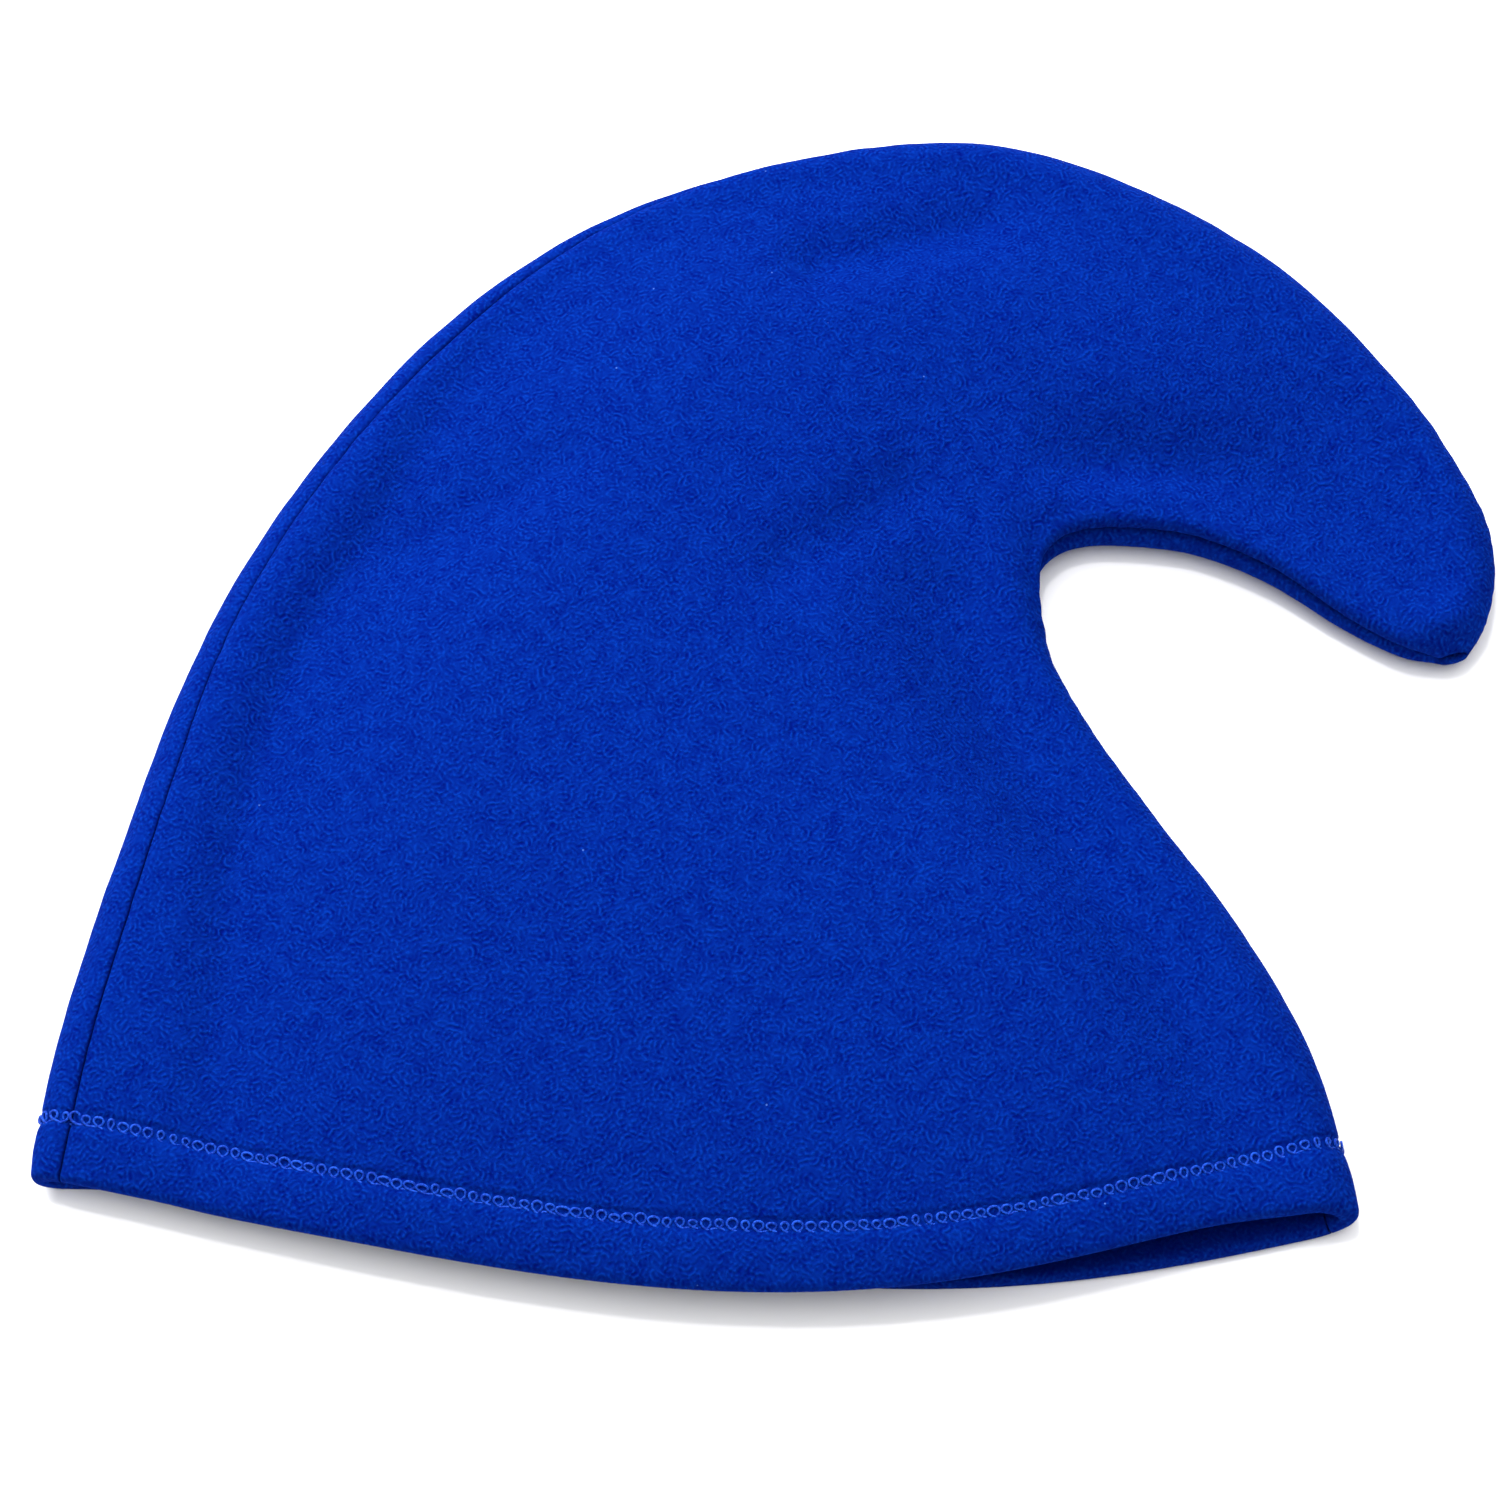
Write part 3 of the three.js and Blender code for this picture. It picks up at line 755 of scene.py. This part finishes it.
    def rings(self, allowance: np.ndarray, face: Grid, back: Grid,
              skip: int) -> tuple[np.ndarray, np.ndarray]:
        """Join both sides of the cloth and the seam allowances into rings.

        Args:
            allowance: How far each row's seam allowance stands beyond the cloth.
            face: The right side's grid.
            back: The wrong side's grid.
            skip: How many places of the wrong side lie behind the seam allowance.

        Returns:
            The rings' places, and each place's distance from the nearest seam.
        """
        form, thin, length = self.form, self.thinning(face.length), face.length[:, None]
        cloth = form.cloth * thin
        extra = np.minimum(allowance[:, None] * thin, self.tip_allowance_share * length)
        ends = []
        for column, way in ((0, 1.0), (-1, -1.0)):
            sideways = face.around[:, column] * way
            inwards = unit(back.place[:, column] - face.place[:, column])
            lip = face.place[:, column] + sideways * form.layer_gap / 2
            foot = lip + inwards * (cloth + extra)
            heel = foot + sideways * cloth
            root = lip + inwards * cloth + sideways * cloth
            ends.append([corner[:, None] for corner in (lip, foot, heel, root)])
        (lip, foot, heel, root), (far_lip, *far_end) = ends
        inner = back.place[:, skip:-skip][:, ::-1]
        rings = np.concatenate(
            [lip, face.place[:, 1:-1], far_lip, *far_end, inner, root, heel, foot], axis=1,
        )
        near = np.full(rings.shape[:2], form.cloth)
        near[:, : self.across] = np.minimum(face.distance, length - face.distance)
        return rings, near

    def end_faces(self, rows: int, count: int, skip: int) -> list[list[int]]:
        """Return the faces that close the first and the last ring.

        Args:
            rows: How many rings there are.
            count: How many places each ring has.
            skip: How many places of the wrong side lie behind the seam allowance.

        Returns:
            The places of each face, counted ring after ring.
        """
        across = self.across
        far_foot, far_heel, far_root = across, across + 1, across + 2
        root, heel, foot = count - 3, count - 2, count - 1
        inner = list(range(far_root + 1, root))[::-1]
        faces = [[0, root, heel, foot], [across - 1, far_foot, far_heel, far_root]]
        for c in range(skip, across - skip - 1):
            faces.append([c, c + 1, inner[c + 1 - skip], inner[c - skip]])
        faces += [[c, c + 1, root] for c in range(skip)] + [[skip, inner[0], root]]
        faces += [[c, c + 1, far_root] for c in range(across - skip - 1, across - 1)]
        faces += [[across - skip - 1, far_root, inner[-1]]]
        top = (rows - 1) * count
        return [face[::-1] for face in faces] + [[top + place for place in face] for face in faces]


@dataclass(frozen=True)
class LoopStitching:
    """The looped stitches that hold the hem, all the way round the hat."""

    form: HatForm
    cloths: tuple[PanelCloth, PanelCloth]
    pitch: float = 2.7 * MM
    loop_wide: float = 1.55 * MM
    loop_high: float = 1.05 * MM
    thread: float = 0.3 * MM
    steps: int = 22
    sides: int = 6
    arch: float = 0.3 * MM
    looseness: float = 0.13
    seed: int = 11
    underneath: float = -0.5  # where the way out points lower than this, the thread lies flat
    name: str = "hem_stitching"

    def path(self) -> np.ndarray:
        """Return the thread's centre line, one loop after another.

        Returns:
            The places along the thread, which closes on itself.
        """
        at = np.array([self.form.hem_depth])
        grids = [cloth.layer(at, np.zeros(1)) for cloth in self.cloths]
        place = np.concatenate([grid.place[0][:-1] for grid in grids])
        out = np.concatenate([grid.out[0][:-1] for grid in grids])
        around = np.concatenate([grid.around[0][:-1] for grid in grids])
        run = run_of(np.concatenate([place, place[:1]]))
        loops = round(run[-1] / self.pitch)
        count = loops * self.steps
        phase = np.arange(count) * 2 * math.pi / self.steps
        middle = run[-1] * np.arange(count) / count
        base, out, around = (
            np.stack([np.interp(middle, run, np.append(values, values[0])) for values in part.T], -1)
            for part in (place, out, around)
        )
        up_hat = unit(np.cross(out, around))
        draw = np.random.default_rng(self.seed)
        wobble = np.repeat(draw.normal(0, self.looseness, (loops, 3)), self.steps, axis=0)
        sideways = self.loop_wide * (1 + wobble[:, 0]) * np.sin(phase)
        high = self.loop_high * ((1 + wobble[:, 1]) * -np.cos(phase) + wobble[:, 2])
        lift = self.thread - self.arch * np.cos(phase) - self.arch * np.sin(phase) / 2
        lift = np.where(out[:, 2] < self.underneath, -self.thread, lift)
        return base + around * sideways[:, None] + up_hat * high[:, None] + out * lift[:, None]

    def build(self) -> bpy.types.Object:
        """Build the thread as one closed tube.

        Returns:
            The mesh object.
        """
        path = self.path()
        ahead = unit(np.roll(path, -1, axis=0) - np.roll(path, 1, axis=0))
        side = np.cross(ahead, UP)
        side /= np.maximum(np.linalg.norm(side, axis=-1, keepdims=True), TINY)
        over = np.cross(side, ahead)
        angle = np.arange(self.sides) * 2 * math.pi / self.sides
        ring = side[:, None] * np.cos(angle)[:, None] + over[:, None] * np.sin(angle)[:, None]
        points = path[:, None] + self.thread * ring
        return new_piece(self.name, points, tube_faces(len(path), self.sides, closed=True))


class NodeBench:
    """A short way to add nodes to a material and join them."""

    def __init__(self, name: str) -> None:
        """Make an empty node material.

        Args:
            name: Its name.
        """
        self.material = bpy.data.materials.new(name)
        self.material.use_nodes = True
        self.tree = self.material.node_tree
        self.tree.nodes.clear()

    def add(self, kind: str, inputs: dict | None = None, **settings: object) -> bpy.types.Node:
        """Add a node.

        Args:
            kind: Its type, without ShaderNode in front.
            inputs: What its inputs hold, a value or another node's output socket.
            settings: Its other settings.

        Returns:
            The node.
        """
        node = self.tree.nodes.new(f"ShaderNode{kind}")
        for key, value in settings.items():
            setattr(node, key, value)
        for key, value in (inputs or {}).items():
            if isinstance(value, bpy.types.NodeSocket):
                self.tree.links.new(value, node.inputs[key])
            else:
                node.inputs[key].default_value = value
        return node

    def math(self, operation: str, *values: object) -> bpy.types.NodeSocket:
        """Return the result of a sum on numbers or sockets."""
        return self.add("Math", dict(enumerate(values)), operation=operation).outputs[0]

    def vector(self, operation: str, *values: object) -> bpy.types.Node:
        """Return the node of a sum on vectors."""
        return self.add("VectorMath", dict(enumerate(values)), operation=operation)

    def mix(self, share: object, low: object, high: object) -> bpy.types.NodeSocket:
        """Return the colour between two others, by the numbers of a Mix node's colour sockets."""
        node = self.add("Mix", {0: share, 6: low, 7: high}, data_type="RGBA")
        return node.outputs[2]

    def between(self, value: object, low: float, high: float, to_low: float = 0.0,
                to_high: float = 1.0) -> bpy.types.NodeSocket:
        """Return a value moved from one range to another, held at its ends."""
        inputs = dict(enumerate((value, low, high, to_low, to_high)))
        return self.add("MapRange", inputs, interpolation_type="SMOOTHSTEP").outputs[0]

    def attribute(self, name: str) -> bpy.types.NodeSocket:
        """Return a number that the mesh holds at each place."""
        return self.add("Attribute", attribute_name=name).outputs["Fac"]

    def surface(self, inputs: dict) -> bpy.types.Material:
        """Finish the material with its surface shader.

        Args:
            inputs: What the shader's inputs hold.

        Returns:
            The material.
        """
        shader = self.add("BsdfPrincipled", inputs)
        self.add("OutputMaterial", {"Surface": shader.outputs[0]})
        return self.material


def colour(red: float, green: float, blue: float) -> tuple[float, float, float, float]:
    """Return a screen colour, given from 0 to 255, as the light that a shader takes."""
    screen = (value / 255 for value in (red, green, blue))
    return (*(v / 12.92 if v <= 0.04045 else ((v + 0.055) / 1.055) ** 2.4 for v in screen), 1.0)


@dataclass(frozen=True)
class FleeceFinish:
    """Blue felted fleece, with short fibres that lie curled in small patches.

    The tone runs from the deep colour at 0 to the light one at 1. The shadow colour is painted shade,
    mixed in along the seams' creases and inside the mouth.
    """

    deep: tuple[float, ...] = colour(0, 12, 94)
    light: tuple[float, ...] = colour(2, 41, 133)
    # painted shade, mixed into the seams' creases and the inside of the mouth
    shadow: tuple[float, ...] = colour(0, 12, 84)
    speck: tuple[float, ...] = colour(56, 90, 166)
    sheen_tint: tuple[float, ...] = colour(0, 90, 255)
    sheen: float = 0.17
    fibre_pitch: float = 1.15 * MM
    patch: float = 2.2 * MM
    curl: float = 4 * MM
    curl_flatness: float = 0.1
    fade_from: float = 0.45
    fade_to: float = 0.9
    layer_shifts: tuple[float, ...] = (0.0, 0.0131, 0.0292)
    shift_shares: tuple[float, ...] = (1.0, 0.7, 1.3)  # of a layer's shift, along x, y and z
    base_tone: float = 0.42
    wave: float = 0.14
    stroke: float = 0.3
    stroke_from: float = 0.7
    stroke_to: float = 1.9
    grain: float = 0.24
    grain_size: float = 2.2 * MM
    mottle: float = 0.2
    mottle_size: float = 4 * MM
    cloud_range: tuple[float, float] = (0.25, 0.75)
    bump: float = 0.08 * MM
    bump_strength: float = 0.6
    # painted shade along each seam's crease: its width, and the share of it where the shade is full
    seam_shade: float = 0.6 * MM
    seam_shade_full: float = 0.2  # share of it where the shade is full
    # painted shade inside the mouth: its strength, and how far into the turned-up layer it fades in
    inside_shade: float = 0.6
    inside_fade: float = 3 * MM
    speck_spacing: float = 14 * MM
    speck_size: tuple[float, float] = (0.02, 0.01)  # outside and core, as shares of the spacing

    def fibres(self, bench: NodeBench, place: bpy.types.NodeSocket,
               shift: float) -> bpy.types.NodeSocket:
        """Return fibres that lie curled side by side in patches, fading at each patch's edge.

        Args:
            bench: The material's nodes.
            place: The place on the cloth.
            shift: How far the patches are moved from those of the other layers of fibres.

        Returns:
            Waves from -1 to 1 across the fibres.
        """
        way = tuple(shift * share for share in self.shift_shares)
        moved = bench.vector("ADD", place, way).outputs[0]
        cells = bench.add("TexVoronoi", {"Vector": moved, "Scale": 1 / self.patch})
        centred = bench.vector("SUBTRACT", cells.outputs["Color"], (0.5, 0.5, 0.5)).outputs[0]
        spread = (self.curl, self.curl, self.curl_flatness * self.curl)
        centre = bench.vector("MULTIPLY_ADD", centred, spread, cells.outputs["Position"])
        reach = bench.vector("DISTANCE", moved, centre.outputs[0]).outputs["Value"]
        wave = bench.math("SINE", bench.math("MULTIPLY", reach, 2 * math.pi / self.fibre_pitch))
        fading = bench.between(cells.outputs["Distance"], self.fade_to, self.fade_from)
        return bench.math("MULTIPLY", wave, fading)

    def noise(self, bench: NodeBench, place: bpy.types.NodeSocket, size: float,
              detail: float) -> bpy.types.NodeSocket:
        """Return soft noise from -0.5 to 0.5, with clouds of about this size."""
        cloud = bench.add("TexNoise", {"Vector": place, "Scale": 1 / size, "Detail": detail})
        return bench.between(cloud.outputs["Fac"], *self.cloud_range, -0.5, 0.5)

    def make(self) -> bpy.types.Material:
        """Make the material.

        Returns:
            The material, which reads how far each place is from the seams and the mouth.
        """
        bench = NodeBench("blue_fleece")
        place = bench.add("TexCoord").outputs["Object"]
        layers = [self.fibres(bench, place, shift) for shift in self.layer_shifts]
        total = bench.math("ADD", bench.math("ADD", layers[0], layers[1]), layers[2])
        tone: object = self.base_tone
        for value, strength in (
            (self.noise(bench, place, self.mottle_size, detail=3.0), self.mottle),
            (self.noise(bench, place, self.grain_size, detail=2.0), self.grain),
            (total, self.wave),
            (bench.between(total, self.stroke_from, self.stroke_to), self.stroke),
        ):
            tone = bench.math("MULTIPLY_ADD", value, strength, tone)
        shade = bench.mix(tone, self.deep, self.light)
        dots = bench.add("TexVoronoi", {"Vector": place, "Scale": 1 / self.speck_spacing})
        off_speck = bench.between(dots.outputs["Distance"], *self.speck_size)
        shade = bench.mix(off_speck, shade, self.speck)
        # Painted shade: the cloth darkens to the shadow colour towards each seam's crease, where shade
        # falls.
        near = bench.attribute("seam_near")
        off_seam = bench.between(near, self.seam_shade_full * self.seam_shade, self.seam_shade)
        shade = bench.mix(off_seam, self.shadow, shade)
        # Painted shade: the turned-up layer inside the mouth darkens towards the shadow colour, where
        # little light reaches.
        mouth = bench.attribute("from_mouth")
        turned_in = bench.between(mouth, -self.inside_fade, 0.0, self.inside_shade, 0.0)
        bump = bench.add("Bump", {
            "Height": total, "Strength": self.bump_strength, "Distance": self.bump,
        })
        return bench.surface({
            "Base Color": bench.mix(turned_in, shade, self.shadow), "Roughness": 0.95,
            "Specular IOR Level": 0.01, "Sheen Weight": self.sheen, "Sheen Roughness": 0.4,
            "Sheen Tint": self.sheen_tint, "Normal": bump.outputs[0],
        })


@dataclass(frozen=True)
class ThreadFinish:
    """Lighter blue sewing thread with a slight shine."""

    plain: tuple[float, ...] = colour(22, 74, 186)
    dark: tuple[float, ...] = colour(4, 41, 142)
    ply_scale: float = 1800.0
    ply_range: tuple[float, float] = (0.35, 0.65)
    bump: float = 0.08 * MM
    bump_strength: float = 0.4

    def make(self) -> bpy.types.Material:
        """Make the material.

        Returns:
            The material.
        """
        bench = NodeBench("blue_thread")
        place = bench.add("TexCoord").outputs["Object"]
        noise = bench.add("TexNoise", {"Vector": place, "Scale": self.ply_scale, "Detail": 1.0})
        ply = noise.outputs["Fac"]
        bump = bench.add("Bump", {
            "Height": ply, "Strength": self.bump_strength, "Distance": self.bump,
        })
        return bench.surface({
            "Base Color": bench.mix(bench.between(ply, *self.ply_range), self.dark, self.plain),
            "Roughness": 0.6, "Specular IOR Level": 0.1, "Normal": bump.outputs[0],
        })


def aimed(name: str, data: bpy.types.ID, place: Vector, way: Vector) -> bpy.types.Object:
    """Put a light or a camera in the scene.

    Args:
        name: The object's name.
        data: The light or the camera.
        place: Where it stands.
        way: The direction in which it looks.

    Returns:
        The object.
    """
    item = bpy.data.objects.new(name, data)
    item.location = place
    item.rotation_euler = way.to_track_quat("-Z", "Y").to_euler()
    bpy.context.scene.collection.objects.link(item)
    return item


@dataclass(frozen=True)
class SoftLight:
    """A square light that is turned to the middle of the table. Its power is in watts."""

    name: str
    place: tuple[float, float, float]
    width: float
    power: float


@dataclass(frozen=True)
class Studio:
    """The pale table, the soft light and the camera."""

    lens: float = 110.0  # this and the sensor's width are in millimetres
    sensor_width: float = 36.0
    distance: float = 1.0015
    elevation: float = 64.0
    aim: tuple[float, float, float] = (-0.0075, -0.0144, 0.008)
    table_width: float = 6.0
    table_tone: float = 0.92
    room: float = 0.15
    soft_lights: tuple[SoftLight, ...] = (
        SoftLight("window", (-0.7, 1.05, 0.85), 0.9, 38.0),
        SoftLight("lamp", (-0.08, 0.2, 1.6), 0.1, 7.0),
        SoftLight("ceiling", (0.0, 0.05, 1.6), 2.4, 51.0),
    )

    def floor(self) -> None:
        """Lay the pale table under the hat."""
        half, tone = self.table_width / 2, self.table_tone
        corners = np.array([(-half, -half, 0), (half, -half, 0), (half, half, 0), (-half, half, 0)])
        table = new_piece("table", corners, [(0, 1, 2, 3)], smooth=False)
        bench = NodeBench("pale_table")
        table.data.materials.append(bench.surface({
            "Base Color": (tone, tone, tone, 1.0), "Roughness": 1.0, "Specular IOR Level": 0.0,
        }))

    def lights(self) -> None:
        """Fill the room with pale light and hang the soft lights."""
        world = bpy.data.worlds.new("pale_room")
        world.use_nodes = True
        background = world.node_tree.nodes["Background"]
        background.inputs["Color"].default_value = (1.0, 1.0, 1.0, 1.0)
        background.inputs["Strength"].default_value = self.room
        bpy.context.scene.world = world
        for light in self.soft_lights:
            data = bpy.data.lights.new(light.name, "AREA")
            data.size, data.energy = light.width, light.power
            aimed(light.name, data, Vector(light.place), -Vector(light.place))

    def camera(self) -> None:
        """Set the camera over the table, at the photograph's angle."""
        data = bpy.data.cameras.new("camera")
        data.lens, data.sensor_width = self.lens, self.sensor_width
        tilt = math.radians(self.elevation)
        back = Vector((0.0, -math.cos(tilt), math.sin(tilt)))
        place = Vector(self.aim) + back * self.distance
        bpy.context.scene.camera = aimed("camera", data, place, -back)

    def build(self) -> None:
        """Set up the whole studio."""
        bpy.context.scene.view_settings.view_transform = "Standard"
        self.camera()
        self.floor()
        self.lights()


@dataclass(frozen=True)
class Sewing:
    """Puts the made pieces in their places on the frame."""

    form: HatForm = HatForm()

    def centred(self, pieces: list[bpy.types.Object]) -> None:
        """Move the pieces' meshes so that the hat lies over the middle of its footprint.

        Args:
            pieces: All the pieces of the hat.
        """
        corners = np.array([[*corner] for piece in pieces for corner in piece.bound_box])
        middle = (corners.min(0) + corners.max(0)) / 2
        for piece in pieces:
            piece.data.transform(Matrix.Translation((-middle[0], -middle[1], 0.0)))

    def declare(self, side: Side) -> None:
        """Hide a panel's solids and its hem turning, where the panel's cloth lies instead.

        Args:
            side: Which panel it is.
        """
        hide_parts(f"{side.value}_panel", f"{side.value}_hem_turning")

    def build(self) -> list[bpy.types.Object]:
        """Make the panels and the stitching, dress them and place them on the frame.

        Returns:
            The pieces.
        """
        cloths = PanelCloth(self.form, Side.RIGHT), PanelCloth(self.form, Side.LEFT)
        panels = [cloth.build() for cloth in cloths]
        stitching = LoopStitching(self.form, cloths).build()
        pieces = [*panels, stitching]
        self.centred(pieces)
        fleece, thread = FleeceFinish().make(), ThreadFinish().make()
        for piece, finish in zip(pieces, (fleece, fleece, thread)):
            piece.data.materials.append(finish)
            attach(piece, "root")
            log.info("%s: %d faces", piece.name, len(piece.data.polygons))
        for piece, side in zip(panels, (Side.RIGHT, Side.LEFT)):
            self.declare(side)
        return pieces


def main() -> None:
    """Build the studio and the hat, and report each piece."""
    logging.basicConfig(level=logging.INFO, format="%(name)s: %(message)s")
    Studio().build()
    for piece in Sewing().build():
        size = piece.dimensions
        log.info("%s: %.0f x %.0f x %.0f mm", piece.name, *(side / MM for side in size))


if __name__ == "__main__":
    main()
